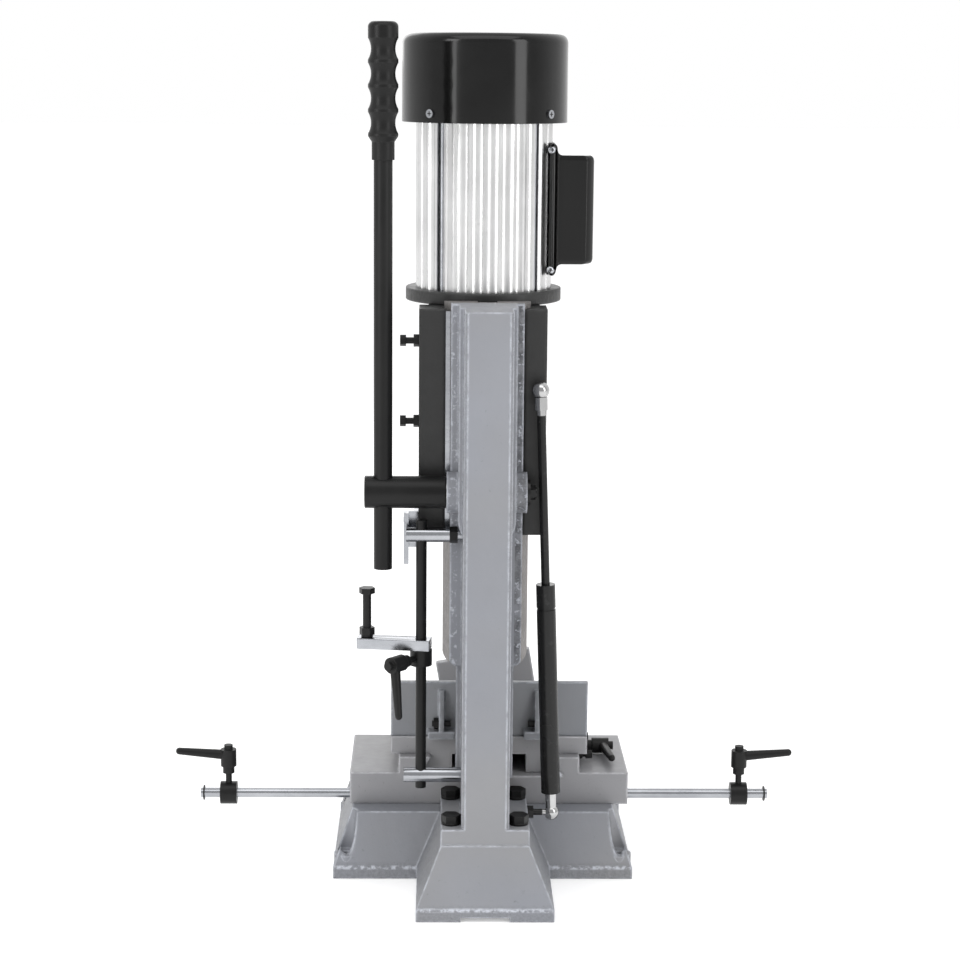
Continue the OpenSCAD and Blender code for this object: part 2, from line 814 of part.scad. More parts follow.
module depth_bar() {
    half = 9;
    corner = 3;
    color("#b7b9bc")
        difference() {
            at_depth_rod()
                along_z(bar_z, bar_z + bar_t) {
                    translate([-half, -half]) square([bar_reach + 2 * half - corner, 2 * half]);
                    translate([0, -half + corner]) square([bar_reach + half, 2 * (half - corner)]);
                    for (sy = [-1, 1])
                        translate([bar_reach + half - corner, sy * (half - corner)]) circle(corner);
                }
            zcyl(depth_r + running, bar_z - e, bar_z + bar_t + e, depth_x, shaft_y);
            at_depth_rod() zcyl(depth_bolt_r + running, bar_z - e, bar_z + bar_t + e, bar_reach, 0);
        }
}

module depth_bolt() {
    nut = [bar_z + bar_t + 0.3, bar_z + bar_t + 9.3];
    head = [bar_z + 51.7, bar_z + 57];
    color("#202124")
        at_depth_rod() {
            zcyl(depth_bolt_r, bar_z + 0.3, head[0] + 1, bar_reach, 0);
            zcyl(5.5, nut[0], nut[0] + 3, bar_reach, 0);
            zhex(12.6, nut[0] + 2, nut[1], bar_reach, 0);
            zhex(13, head[0], head[1], bar_reach, 0);
        }
}

module depth_lever() {
    color("#1b1c1e")
        at_depth_screw() {
            translate([0, 0, depth_collar_r]) rotate([0, 0, 12]) clamp_lever(lever_l);
            translate([0, 0, depth_r + 0.3]) cylinder(r = screw_tip_r, h = depth_collar_r - depth_r);
        }
}

module head_outline() {
    x0 = spindle_x - body_half;
    x1 = spindle_x + body_half;
    polygon([[x0 + body_edge, body_front], [x1 - body_edge, body_front], [x1, body_front + body_edge],
        [x1, way_front - 15], [x0, way_front - 15], [x0, body_front + body_edge]]);
}

module head_casting() {
    door_z = [chamber_z + 14, chamber_z + 74];
    color("#1f2023") {
        difference() {
            union() {
                along_z(chamber_z - 8, head_top) head_outline();
                box(head_left, head_right, way_front - 22, wing_rear_y, head_bottom, head_top);
                zcyl(boss_outer_r, head_bottom, chamber_z, spindle_x, 0);
                box(spindle_x - 16, spindle_x + 16, 0, way_front - 20, head_bottom, chamber_z);
                for (z = door_z)
                    box(spindle_x - 44, spindle_x - 36, body_front - 8, body_front + 1, z, z + 10);
            }
            along_z(head_bottom - e, head_top + e) {
                polygon([[-way_front_half - slide_gap, way_front - slide_gap],
                    [way_front_half + gib_t + slide_gap, way_front - slide_gap],
                    [way_front_half + gib_t + slide_gap, way_front],
                    [way_root_half + gib_t + slide_gap, way_root], [-way_root_half - slide_gap, way_root],
                    [-way_front_half - slide_gap, way_front]]);
            }
            box(spindle_x - chamber_half, spindle_x + chamber_half, chamber_front, chamber_rear,
                chamber_z, roof_z);
            box(spindle_x - chamber_half + 10, spindle_x + chamber_half - 6,
                body_front - e, chamber_front + e, chamber_z + 8, chamber_z + 86);
            zcyl(bush_r, head_bottom - e, head_bottom + bush_l, spindle_x, 0);
            zcyl(9, head_bottom, chamber_z + e, spindle_x, 0);
            zcyl(12, roof_z - e, head_top + e, spindle_x, 0);
            for (a = [45 : 90 : 315])
                rotate_about_spindle(a) zcyl(4.1, roof_z - e, head_top + e, 32, 0);
            ycyl(4 + running, -boss_outer_r - e, 0, spindle_x, head_bottom + 24);
            for (z = gib_z)
                xcyl(gib_screw_r, way_front_half, head_right + e, gib_y, z);
            ycyl(3, way_front, wing_rear_y + e, strut_high[0], strut_high[2]);
            box(-8.2, 8.2, rack_line - 12, way_front + e, shaft_z - 26, shaft_z + 90);
            zcyl(2, door_z[0] - e, door_z[1] + 10.5, door_pin_x, door_pin_y);
            xcyl(2.5, head_right - 12, head_right + e, 84, head_bottom + 12);
        }
    }
}

module rotate_about_spindle(a) {
    translate([spindle_x, 0, 0]) rotate([0, 0, a]) children();
}

module head_gib() {
    low = 2;
    inner = 0.1;
    color("#b9bbbe")
        along_z(head_bottom + low, head_top - low)
            polygon([[way_front_half + inner, way_front + 0.4], [way_front_half + gib_t, way_front + 0.4],
                [way_root_half + gib_t + 0.4, wing_rear_y - 0.2],
                [way_root_half + inner + 0.5, wing_rear_y - 0.2]]);
}

module head_screws() {
    tip = (way_front_half + way_root_half) / 2 + gib_t + 1.6;
    color("#202124") {
        for (z = gib_z) {
            xcyl(gib_screw_r, tip, head_right + 17, gib_y, z);
            xhex(10, head_right, head_right + 5, gib_y, z);
            xhex(9, head_right + 12, head_right + 17.5, gib_y, z);
        }
        xcyl(2.5, head_right - 10, head_right + 14, 84, head_bottom + 12);
        xhex(8, head_right + 4, head_right + 9, 84, head_bottom + 12);
        for (a = [45 : 90 : 315])
            rotate_about_spindle(a) {
                zcyl(4, roof_z - e, flange_top - 2.5, 32, 0);
                zcyl(6.5, roof_z - 8, roof_z, 32, 0);
            }
        translate(strut_high) rotate([-90, 0, 0]) ball_and_neck(strut_high[1] - wing_rear_y + 14);
        yhex(10.4, wing_rear_y, wing_rear_y + 5, strut_high[0], strut_high[2]);
        zcyl(2, chamber_z + 14, chamber_z + 84, door_pin_x, door_pin_y);
    }
}

// The bracket that the head carries down onto the depth bar
module stop_bracket() {
    color("#2a2b2e")
        difference() {
            union() {
                box(head_right, head_right + 4, 76, 94, head_bottom + 2, head_bottom + 22);
                box(head_right, head_right + 13.5, 90, 94, head_bottom - 12, head_bottom + 22);
                box(head_right + 9, head_right + 13.5, 90, shaft_y - 9, bracket_low, head_bottom + 22);
            }
            xcyl(2.5, head_right - e, head_right + 5, 84, head_bottom + 12);
        }
}

module feed_rack() {
    rack_teeth = 17;
    color("#5b5d61")
        translate([-7.5, 0, 0])
            rotate([90, 0, 90]) linear_extrude(15)
                translate([rack_line + 0.9 * module_mm, shaft_z + 32.5]) rack_upright(rack_teeth);
}

// The feed rack's outline: teeth point to +Y, and one of them is level with the pinion's axis
module rack_upright(teeth) {
    middle = round(32.5 / tooth_pitch) * tooth_pitch - 32.5;
    translate([0, middle]) rotate([0, 0, 90]) rack_outline(teeth, 9.6);
}

module motor_flange() {
    color("#1f2023")
        difference() {
            zcyl(flange_r, head_top, flange_top, spindle_x, 0);
            zcyl(bearing_r, head_top - e, flange_top + e, spindle_x, 0);
            for (a = [45 : 90 : 315])
                rotate_about_spindle(a) zcyl(4, head_top - e, flange_top - 2, 32, 0);
            for (a = [0 : 90 : 270])
                rotate_about_spindle(a + tie_turn) zcyl(tie_r, flange_top - 8, flange_top + e, tie_at, 0);
        }
}

module motor_body() {
    flute_r = 8.2;
    flute_deep = 2;
    color("#c3c5c8")
        difference() {
            zcyl(motor_r, flange_top, motor_top, spindle_x, 0);
            zcyl(stator_r, flange_top - e, motor_top + e, spindle_x, 0);
            for (i = [0 : flutes - 1])
                rotate_about_spindle((i + 0.5) * 360 / flutes)
                    zcyl(flute_r, flange_top - e, motor_top + e, motor_r + flute_r - flute_deep, 0);
            for (a = [0 : 90 : 270])
                rotate_about_spindle(a + tie_turn)
                    translate([tie_at - tie_r - 0.3, -3.5, flange_top - e]) cube([10, 7, motor_l + 1]);
        }
}

module stator() {
    stack = [flange_top + 30, motor_top - 38];
    color("#8a6a3d") {
        difference() {
            zcyl(stator_r, stack[0], stack[1], spindle_x, 0);
            zcyl(stator_bore, stack[0] - e, stack[1] + e, spindle_x, 0);
        }
        for (z = stack)
            translate([spindle_x, 0, z]) rotate_extrude() translate([42, 0]) circle(8);
    }
}

module motor_bearings() {
    color("#c9ccd0")
        for (z = [head_top, motor_top])
            translate([spindle_x, 0, z])
                difference() {
                    cylinder(r = bearing_r, h = 12);
                    translate([0, 0, -e]) cylinder(r = motor_shaft_r + running, h = 13);
                }
}

module end_shield() {
    color("#c3c5c8")
        difference() {
            union() {
                zcyl(motor_r - 1, motor_top, motor_top + shield_t, spindle_x, 0);
                for (a = [0 : 90 : 270])
                    rotate_about_spindle(a + tie_turn)
                        translate([40, -7, motor_top]) cube([cover_r - cover_wall - 40.4, 14, shield_t]);
            }
            zcyl(bearing_r, motor_top - e, motor_top + shield_t + e, spindle_x, 0);
            for (a = [0 : 90 : 270])
                rotate_about_spindle(a + tie_turn) {
                    zcyl(tie_r, motor_top - e, motor_top + shield_t + e, tie_at, 0);
                    xcyl(1.8, cover_r - 14, cover_r, 0, motor_top + 8.5);
                }
        }
}

module fan_cover() {
    edge = 9;
    rim = 5;
    vent_in = 22;
    vent_out = cover_r - 20;
    color("#17181a")
        difference() {
            translate([spindle_x, 0, 0]) rotate_extrude($fn = 72) cover_outline(edge, rim);
            for (a = [0 : 15 : 345])
                rotate_about_spindle(a)
                    translate([vent_in, -1.6, cover_top - 12]) cube([vent_out - vent_in, 3.2, 14]);
            for (a = [0 : 90 : 270])
                rotate_about_spindle(a + tie_turn) xcyl(2.2, cover_r - 10, cover_r + 1, 0, motor_top + 8.5);
        }
}

// Half of the cover's section: side wall, rounded edge, raised rim and sunk grille
module cover_outline(edge, rim) {
    difference() {
        union() {
            square([cover_r - edge, cover_top]);
            square([cover_r, cover_top - edge]);
            translate([cover_r - edge, cover_top - edge]) circle(edge);
        }
        translate([-e, -e]) square([cover_r - cover_wall + e, cover_top - edge + e]);
        translate([-e, -e]) square([cover_r - edge + e, cover_top - rim - cover_wall + e]);
        translate([-e, cover_top - rim]) square([cover_r - edge - rim + e, rim + 1]);
        translate([-e, -e]) square([cover_r + 2 * e, motor_top + e]);
    }
}

module cover_screws() {
    color("#c9ccd0")
        for (a = [0 : 90 : 270])
            rotate_about_spindle(a + tie_turn) {
                xcyl(1.75, cover_r - 12, cover_r + 1, 0, motor_top + 8.5);
                xcyl(4, cover_r, cover_r + 2, 0, motor_top + 8.5);
                zcyl(tie_r, flange_top - 8, motor_top + shield_t, tie_at, 0);
                zcyl(4.5, motor_top + shield_t, motor_top + shield_t + 4, tie_at, 0);
            }
}

module capacitor_box() {
    face = spindle_x - motor_r;
    middle = motor_top - motor_l * 0.52;
    plate_z = [middle - capacitor_h / 2 - plate_tab, middle + capacitor_h / 2 + plate_tab];
    box_z = [middle - capacitor_h / 2, middle + capacitor_h / 2];
    half = capacitor_w / 2;
    outer = face - capacitor_t;
    color("#17181a") {
        difference() {
            box(face - saddle_t, face + 4, -half - 3, half + 3, plate_z[0], plate_z[1]);
            zcyl(motor_r, plate_z[0] - e, plate_z[1] + e, spindle_x, 0);
        }
        along_z(box_z[0], box_z[1])
            polygon([[face - 3, -half],
                [outer + capacitor_bevel[0], -half], [outer, -half + capacitor_bevel[1]],
                [outer, half - capacitor_bevel[1]], [outer + capacitor_bevel[0], half],
                [face - 3, half]]);
    }
}

module rotor_shaft() {
    color("#9da0a4") {
        zcyl(motor_shaft_r, chamber_z + 66, motor_top + 42, spindle_x, 0);
        zcyl(stator_bore - 0.4, flange_top + 31, motor_top - 39, spindle_x, 0);
    }
}

module cooling_fan() {
    color("#2a2b2e")
        difference() {
            union() {
                zcyl(fan_hub_r, fan_z, fan_z + 18, spindle_x, 0);
                zcyl(fan_r, fan_z, fan_z + fan_plate_t, spindle_x, 0);
                for (a = [0 : 40 : 320])
                    rotate_about_spindle(a)
                        translate([fan_hub_r - 1, -fan_plate_t / 2, fan_z + 2])
                            cube([fan_r - fan_hub_r, fan_plate_t, 20]);
            }
            zcyl(motor_shaft_r, fan_z - 1, fan_z + 23, spindle_x, 0);
        }
}

module chuck() {
    z = chamber_z;
    color("#8c8f93")
        difference() {
            union() {
                zcyl(19, z + 46, z + 92, spindle_x, 0);
                translate([spindle_x, 0, z + 30]) cylinder(r1 = 12, r2 = 19, h = 16);
            }
            zcyl(motor_shaft_r, z + 66, z + 93, spindle_x, 0);
            zcyl(4, z + 29, z + 67, spindle_x, 0);
            for (a = [0 : 120 : 240])
                rotate_about_spindle(a) xcyl(3, 12, 20, 0, z + 56);
        }
}

module auger_bit() {
    r = 4.6;
    low = head_bottom - chisel_l + 1;
    high = head_bottom + 10;
    turn = (high - low) / 14;
    color("#b9bbbe") {
        zcyl(4, high - 1, chamber_z + 64, spindle_x, 0);
        translate([spindle_x, 0, low])
            linear_extrude(high - low, twist = -360 * turn, slices = 60)
                polygon([[-r, -0.8], [-1.6, -1.5], [1.6, -1.5], [r, -0.8],
                    [r, 0.8], [1.6, 1.5], [-1.6, 1.5], [-r, 0.8]]);
    }
}

module chisel_bush() {
    color("#7c7f83")
        difference() {
            union() {
                zcyl(bush_r, head_bottom, head_bottom + bush_l, spindle_x, 0);
                ycyl(4, -boss_outer_r - 9, -shank_r - 0.2, spindle_x, head_bottom + 24);
                yhex(13, -boss_outer_r - 17, -boss_outer_r - 8, spindle_x, head_bottom + 24);
            }
            zcyl(shank_r, head_bottom - e, head_bottom + bush_l + e, spindle_x, 0);
        }
}

module hollow_chisel() {
    low = head_bottom - chisel_l;
    bore = 5.1;
    half = chisel_w / 2;
    color("#b3b6ba")
        difference() {
            union() {
                zcyl(shank_r, head_bottom - 4, head_bottom + 48, spindle_x, 0);
                zcyl(shank_r + 1.5, head_bottom - 7, head_bottom, spindle_x, 0);
                box(spindle_x - half, spindle_x + half, -half, half, low, head_bottom - 6);
            }
            zcyl(bore, low - e, head_bottom + 49, spindle_x, 0);
            translate([spindle_x, 0, low - 0.01]) cylinder(r1 = half * sqrt(2) - 0.3, r2 = bore, h = 7);
            box(spindle_x - 3, spindle_x + 3, -half - e, 0, low + 24, head_bottom - 26);
        }
}

module chuck_door() {
    z0 = chamber_z + 3;
    z1 = chamber_z + 91;
    hinge_z = [chamber_z + 26, chamber_z + 72];
    plate_x = door_pin_x + 8;
    color("#17181a") {
        difference() {
            union() {
                box(plate_x, spindle_x + 36, body_front - 4.3, body_front - 0.3, z0, z1);
                box(door_pin_x, plate_x + 1, body_front - 6, body_front - 2.3, hinge_z[0], hinge_z[1]);
                zcyl(3.6, hinge_z[0] - 1.5, hinge_z[1] + 1.5, door_pin_x, door_pin_y);
                ycyl(6, body_front - 12, body_front - 4, spindle_x + 26, chamber_z + 47);
            }
            zcyl(2 + running, hinge_z[0] - 2, hinge_z[1] + 2, door_pin_x, door_pin_y);
        }
    }
}

module switch_box() {
    color("#2b2d31") {
        difference() {
            union() {
                box(spindle_x - switch_half, spindle_x + switch_half, body_front - switch_deep, body_front,
                    switch_z[0], switch_z[1]);
                zcyl(8, switch_z[0] - 6, switch_z[0] + e, spindle_x + 20, body_front - 17);
                zhex(18, switch_z[0] - 3, switch_z[0] + e, spindle_x + 20, body_front - 17);
            }
            for (sx = [-1, 1])
                ycyl(button_r + 0.3, body_front - switch_deep - 1, body_front - 12,
                    spindle_x + sx * button_at, button_z);
        }
    }
}

module start_button() {
    color("#2e7d46") ycyl(button_r, body_front - 34, body_front - 17, spindle_x - button_at, button_z);
}

module stop_button() {
    color("#b3261e") ycyl(button_r, body_front - 34, body_front - 17, spindle_x + button_at, button_z);
}

module strut_frame() {
    translate(strut_low) rotate([0, strut_tilt, 0]) children();
}

module strut_cylinder() {
    low = 20;
    top = 222;
    wall = 1.4;
    neck_r = 5.3;
    groove = [top - 24, top - 22];
    color("#1b1c1e")
        strut_frame()
            difference() {
                union() {
                    translate([0, 0, low]) cylinder(r = strut_r, h = top - low);
                    sphere(socket_r);
                    cylinder(r = neck_r, h = low + 1);
                }
                translate([0, 0, low + 9]) cylinder(r = strut_r - wall, h = top - low - 19);
                translate([0, 0, low + 80]) cylinder(r = strut_rod_r + running, h = top);
                rotate([0, 90 - strut_tilt, 0]) ball_cup(0.25);
                translate([0, 0, groove[0]])
                    difference() {
                        cylinder(r = strut_r + 1, h = groove[1] - groove[0]);
                        translate([0, 0, -e]) cylinder(r = strut_r - 1, h = groove[1] - groove[0] + 2 * e);
                    }
            }
}

// The cup that a ball sits in, open along +Z
module ball_cup(gap) {
    translate([0, 0, -ball_r - gap]) cylinder(r = ball_r + gap, h = 4 * ball_r);
}

module strut_rod() {
    piston = 188;
    piston_t = 12;
    neck_l = 12;
    color("#2a2b2e")
        strut_frame()
            difference() {
                union() {
                    translate([0, 0, piston]) cylinder(r = strut_r - 1.5, h = piston_t);
                    translate([0, 0, piston]) cylinder(r = strut_rod_r, h = strut_len - piston - 6);
                    translate([0, 0, strut_len]) sphere(socket_r + 0.6);
                    translate([0, 0, strut_len - 6 - neck_l]) cylinder(r = 6, h = neck_l);
                }
                translate([0, 0, strut_len]) rotate([90, 0, 0]) ball_cup(0.7);
            }
}

module pinion_shaft() {
    color("#9da0a4") {
        xcyl(shaft_r, -boss_half - 1, lever_x - 14, shaft_y, shaft_z);
        along_x(-pinion_half, pinion_half)
            translate([shaft_y, shaft_z]) gear_outline(feed_teeth, 180 + 180 / feed_teeth);
        xcyl(12, -boss_half - 3, -boss_half - 0.5, shaft_y, shaft_z);
        xcyl(5, -boss_half - 9, -boss_half - 2, shaft_y, shaft_z);
        xhex(12, -boss_half - 8, -boss_half - 3, shaft_y, shaft_z);
    }
}

module feed_hub() {
    color("#1b1c1e")
        difference() {
            xcyl(15, boss_half + 0.3, lever_x + 17, shaft_y, shaft_z);
            xcyl(shaft_r, boss_half, lever_x - 14, shaft_y, shaft_z);
            zcyl(lever_r, shaft_z - 16, shaft_z + 16, lever_x, shaft_y);
        }
}

// The lever's rod, with a grip whose finger hollows leave four sharp ridges and a knob
module feed_lever() {
    grip_low = grip_top - grip_l;
    ridge_r = 13.6;
    hollow_r = 18;
    hollow_deep = 2.7;
    sleeve_r = 10.3;
    ridge_step = 21.7;
    ridge = grip_top - 100;
    corner = 5;
    color("#17181a") {
        zcyl(lever_r, shaft_z - lever_below, grip_low + 1, lever_x, shaft_y);
        translate([lever_x, shaft_y, 0]) rotate_extrude() {
            translate([0, grip_low]) square([sleeve_r, ridge - grip_low]);
            difference() {
                union() {
                    polygon([[0, ridge - 6], [sleeve_r, ridge - 6], [ridge_r, ridge - 1],
                        [ridge_r, grip_top - corner], [0, grip_top - corner]]);
                    translate([0, grip_top - corner - e]) square([ridge_r - corner, corner + e]);
                    translate([ridge_r - corner, grip_top - corner]) circle(corner);
                }
                for (i = [0 : 3])
                    translate([ridge_r + hollow_r - hollow_deep, ridge + (i + 0.5) * ridge_step])
                        circle(hollow_r);
            }
        }
    }
}

base_casting();
column();
column_bolts();
depth_pins();
depth_rod();
strut_lower_stud();
travel_rod();
rod_clips();
cross_slide_block();
x_rack();
y_gib();
y_gib_screws();
table_lock_lever();
x_pinion_shaft();
x_handwheel();
table_slide();
work_table();
fence_bolts();
clamp_bracket();
y_leadscrew();
y_handwheel();
clamp_jaw();
clamp_screw();
clamp_handwheel();
stop_collar_left();
stop_collar_right();
stop_lever_left();
stop_lever_right();
depth_collar();
depth_bar();
depth_bolt();
depth_lever();
head_casting();
head_gib();
head_screws();
stop_bracket();
feed_rack();
motor_flange();
motor_body();
stator();
motor_bearings();
end_shield();
fan_cover();
cover_screws();
capacitor_box();
rotor_shaft();
cooling_fan();
chuck();
auger_bit();
chisel_bush();
hollow_chisel();
chuck_door();
switch_box();
start_button();
stop_button();
strut_cylinder();
strut_rod();
pinion_shaft();
feed_hub();
feed_lever();
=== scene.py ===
"""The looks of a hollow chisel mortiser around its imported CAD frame, in metres."""

import math

import bpy
from mathutils import Matrix, Vector


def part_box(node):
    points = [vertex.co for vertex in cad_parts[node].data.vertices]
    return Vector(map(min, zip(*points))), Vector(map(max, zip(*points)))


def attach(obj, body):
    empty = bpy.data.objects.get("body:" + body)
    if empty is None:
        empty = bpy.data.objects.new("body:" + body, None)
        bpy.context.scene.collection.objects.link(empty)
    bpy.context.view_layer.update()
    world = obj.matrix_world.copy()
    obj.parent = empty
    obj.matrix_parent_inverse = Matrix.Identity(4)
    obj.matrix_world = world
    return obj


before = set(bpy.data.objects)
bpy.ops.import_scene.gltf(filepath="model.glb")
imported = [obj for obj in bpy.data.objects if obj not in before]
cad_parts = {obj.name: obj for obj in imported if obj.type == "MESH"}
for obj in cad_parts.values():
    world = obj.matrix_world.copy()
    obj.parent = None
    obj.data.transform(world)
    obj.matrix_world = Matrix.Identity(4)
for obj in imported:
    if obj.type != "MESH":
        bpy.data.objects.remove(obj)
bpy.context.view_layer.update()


# Materials

# Between these two a noise has nearly all of its values
NOISE_LOW = 0.3
NOISE_HIGH = 0.7
# Sockets of a colour mix, whose names repeat for every kind of data
MIX_FIRST = 6
MIX_SECOND = 7
MIX_RESULT = 2
EDGE_SAMPLES = 4
CREASE_SAMPLES = 6
# Likeness of the rounded normal and the face's own one on an open face
FLAT = 0.9985


def grey(level, red=0.0, blue=0.0):
    """A grey with its red and blue moved a little."""
    return (level + red, level, level + blue, 1.0)


def scaled(colour, by):
    """A colour made lighter or darker."""
    return tuple(by * c for c in colour[:3]) + (1.0,)


class Nodes:
    """A material's node tree with short ways to add and join nodes."""

    def __init__(self, name):
        self.material = bpy.data.materials.new(name)
        self.material.use_nodes = True
        self.tree = self.material.node_tree
        self.shader = self.tree.nodes["Principled BSDF"]
        self.place = self.tree.nodes.new("ShaderNodeTexCoord").outputs["Object"]
        self.parts = None
        self.rounded = None

    def add(self, kind, **inputs):
        """A new node, whose inputs are named with underscores for spaces."""
        node = self.tree.nodes.new(kind)
        for name, value in inputs.items():
            self.put(node.inputs[name.replace("_", " ")], value)
        return node

    def put(self, socket, value):
        """Joins an output to an input, or sets the input's own value."""
        if isinstance(value, bpy.types.NodeSocket):
            self.tree.links.new(value, socket)
        else:
            socket.default_value = value

    def noise(self, scale, detail=3.0, roughness=0.55, stretch=None):
        """Noise that stays with the piece, its scale in waves per metre."""
        place = self.place
        if stretch:
            place = self.add("ShaderNodeMapping", Vector=place, Scale=stretch).outputs["Vector"]
        node = self.add(
            "ShaderNodeTexNoise", Vector=place, Scale=scale, Detail=detail, Roughness=roughness
        )
        return node.outputs["Fac"]

    def ramp(self, value, stops):
        """Turns a value into a colour or a grey level, by stops of (value, colour or level)."""
        node = self.add("ShaderNodeValToRGB", Fac=value)
        points = node.color_ramp.elements
        while len(points) < len(stops):
            points.new(0.5)
        for point, (at, colour) in zip(points, stops):
            point.position = at
            point.color = grey(colour) if isinstance(colour, float) else colour
        return node.outputs["Color"]

    def tints(self, value, dark, light):
        """From one colour to another over a noise's usual values."""
        return self.ramp(value, [(NOISE_LOW, dark), (NOISE_HIGH, light)])

    def patches(self, value, low, high, most=1.0):
        """Cuts a noise to patches: 0 below the low value, most above the high one."""
        return self.ramp(value, [(low, 0.0), (high, most)])

    def mix(self, share, first, second):
        """Two colours mixed by a share of the second."""
        node = self.tree.nodes.new("ShaderNodeMix")
        node.data_type = "RGBA"
        self.put(node.inputs["Factor"], share)
        self.put(node.inputs[MIX_FIRST], first)
        self.put(node.inputs[MIX_SECOND], second)
        return node.outputs[MIX_RESULT]

    def spread(self, value, low, high):
        """Stretches a noise's usual values to run from low to high."""
        node = self.add(
            "ShaderNodeMapRange",
            Value=value,
            From_Min=NOISE_LOW,
            From_Max=NOISE_HIGH,
            To_Min=low,
            To_Max=high,
        )
        return node.outputs["Result"]

    def math(self, operation, first, second=0.0, third=0.0, clamp=False):
        """One operation on up to three values."""
        node = self.tree.nodes.new("ShaderNodeMath")
        node.operation = operation
        node.use_clamp = clamp
        for socket, value in zip(node.inputs, (first, second, third)):
            self.put(socket, value)
        return node.outputs[0]

    def times(self, first, second):
        """One value times another, so that it is high where both are."""
        return self.math("MULTIPLY", first, second)

    def either(self, first, second):
        """High where one value or the other is high."""
        return self.math("MAXIMUM", first, second)

    def axis(self, letter):
        """The piece's own X, Y or Z at rest."""
        if not self.parts:
            self.parts = self.add("ShaderNodeSeparateXYZ", Vector=self.place)
        return self.parts.outputs[letter]

    def inside(self, letter, low, high, soft=0.0008):
        """1 between two places along an axis, 0 outside, with soft ends."""
        along = self.axis(letter)
        rise = self.math("MULTIPLY_ADD", along, 1.0 / soft, 0.5 - low / soft, clamp=True)
        fall = self.math("MULTIPLY_ADD", along, -1.0 / soft, 0.5 + high / soft, clamp=True)
        return self.times(rise, fall)

    def edges(self, radius, hard=0.93):
        """1 along the convex and concave edges, 0 on open faces."""
        bevel = self.add("ShaderNodeBevel", Radius=radius)
        bevel.samples = EDGE_SAMPLES
        self.rounded = self.rounded or bevel.outputs["Normal"]
        faces = self.tree.nodes.new("ShaderNodeNewGeometry")
        likeness = self.tree.nodes.new("ShaderNodeVectorMath")
        likeness.operation = "DOT_PRODUCT"
        self.put(likeness.inputs[0], bevel.outputs["Normal"])
        self.put(likeness.inputs[1], faces.outputs["Normal"])
        halfway = 0.5 + 0.5 * hard
        return self.ramp(likeness.outputs["Value"], [(hard, 1.0), (halfway, 0.5), (FLAT, 0.0)])

    def creases(self, reach):
        """1 deep in corners and along the joints between pieces, 0 in the open."""
        node = self.add("ShaderNodeAmbientOcclusion", Distance=reach)
        node.samples = CREASE_SAMPLES
        return self.ramp(node.outputs["AO"], [(0.25, 1.0), (0.75, 0.0)])

    def facing_sideways(self):
        """1 on faces that look along X, 0 on those that look along Y or Z."""
        faces = self.tree.nodes.new("ShaderNodeNewGeometry").outputs["Normal"]
        across = self.add("ShaderNodeSeparateXYZ", Vector=faces).outputs["X"]
        return self.patches(self.math("ABSOLUTE", across), 0.55, 0.8)

    def bump(self, *layers, start=None):
        """Relief in layers, each a height socket and its depth in metres."""
        normal = start
        for height, depth in layers:
            node = self.add("ShaderNodeBump", Height=height, Distance=depth, Strength=1.0)
            if normal:
                self.put(node.inputs["Normal"], normal)
            normal = node.outputs["Normal"]
        self.put(self.shader.inputs["Normal"], normal)

    def surface(self, **values):
        """Sets the shader's inputs and gives the finished material."""
        for name, value in values.items():
            self.put(self.shader.inputs[name.replace("_", " ")], value)
        return self.material


# Painted castings

# The base's upright skirt ends here, with a rough ridge of casting and paint along it, drawn as a
# ragged painted highlight
SKIRT_TOP = 0.0115
SKIRT_FADE = 0.003
SKIRT_SOFT = 0.004
UNDER_BENCH = -0.01
RIDGE_BELOW = 0.0022
RIDGE_ABOVE = 0.0012
RIDGE_SOFT = 0.002
# How far the wear reaches from an edge, the painted highlight along it and the painted shade out of
# a corner
WORN_REACH = 0.004
RIM_REACH = 0.0026
CREASE_SHADE_REACH = 0.0035
# Depths of the paint's relief; the sides are rougher than the faces to the front and rear
WORN_DEPTH = 0.0005
PEEL_DEPTH = 0.00005
SIDES_ROUGHER = 3.0
# The column's rough flanks beside its rear rib, at X from FLANK_IN to FLANK_OUT
FLANK_IN = 0.0268
FLANK_OUT = 0.0415
FLANK_FOOT = 0.19
FLANK_TOP = 0.56
FLANK_SOFT = 0.01
# The column's dovetail, which is machined and bare
DOVETAIL_FRONT = 0.070
DOVETAIL_REAR = 0.0955
DOVETAIL_FOOT = 0.2165
DOVETAIL_TOP = 0.6
# Tints of the darker marks, as shares of the paint's dark tint: pits, blotches and chips, and the
# painted shade on a column flank and in creases
PITTED = 0.7
BLOTCHED = 0.5
CHIPPED = 0.35
FLANK_SHADE = 0.22
CREASE_SHADE = 0.2
# Tints of the paler marks, as shares of the paint's light tint: paler ragged patches along the
# edges, and painted highlights as glints, along the edges and on the skirt's ridge
EDGE_PALER = 1.55
GLINT_HIGHLIGHT = 2.2
RIM_HIGHLIGHT = 2.5
# The faint warm clouds in the paint, as shares of its light tint's level
WARM = (0.95, 0.93, 0.9)


def enamel(n, dark, light):
    """The paint itself, with pits and faint warm clouds."""
    clouds = n.tints(n.noise(7.0, 4.0), dark, light)
    pits = n.patches(n.noise(240.0, 6.0, 0.7), 0.63, 0.72)
    tint = n.mix(pits, clouds, scaled(dark, PITTED))
    warm = n.patches(n.noise(5.5, 2.0), 0.4, 0.65, 0.45)
    return n.mix(warm, tint, scaled(WARM, light[1]))


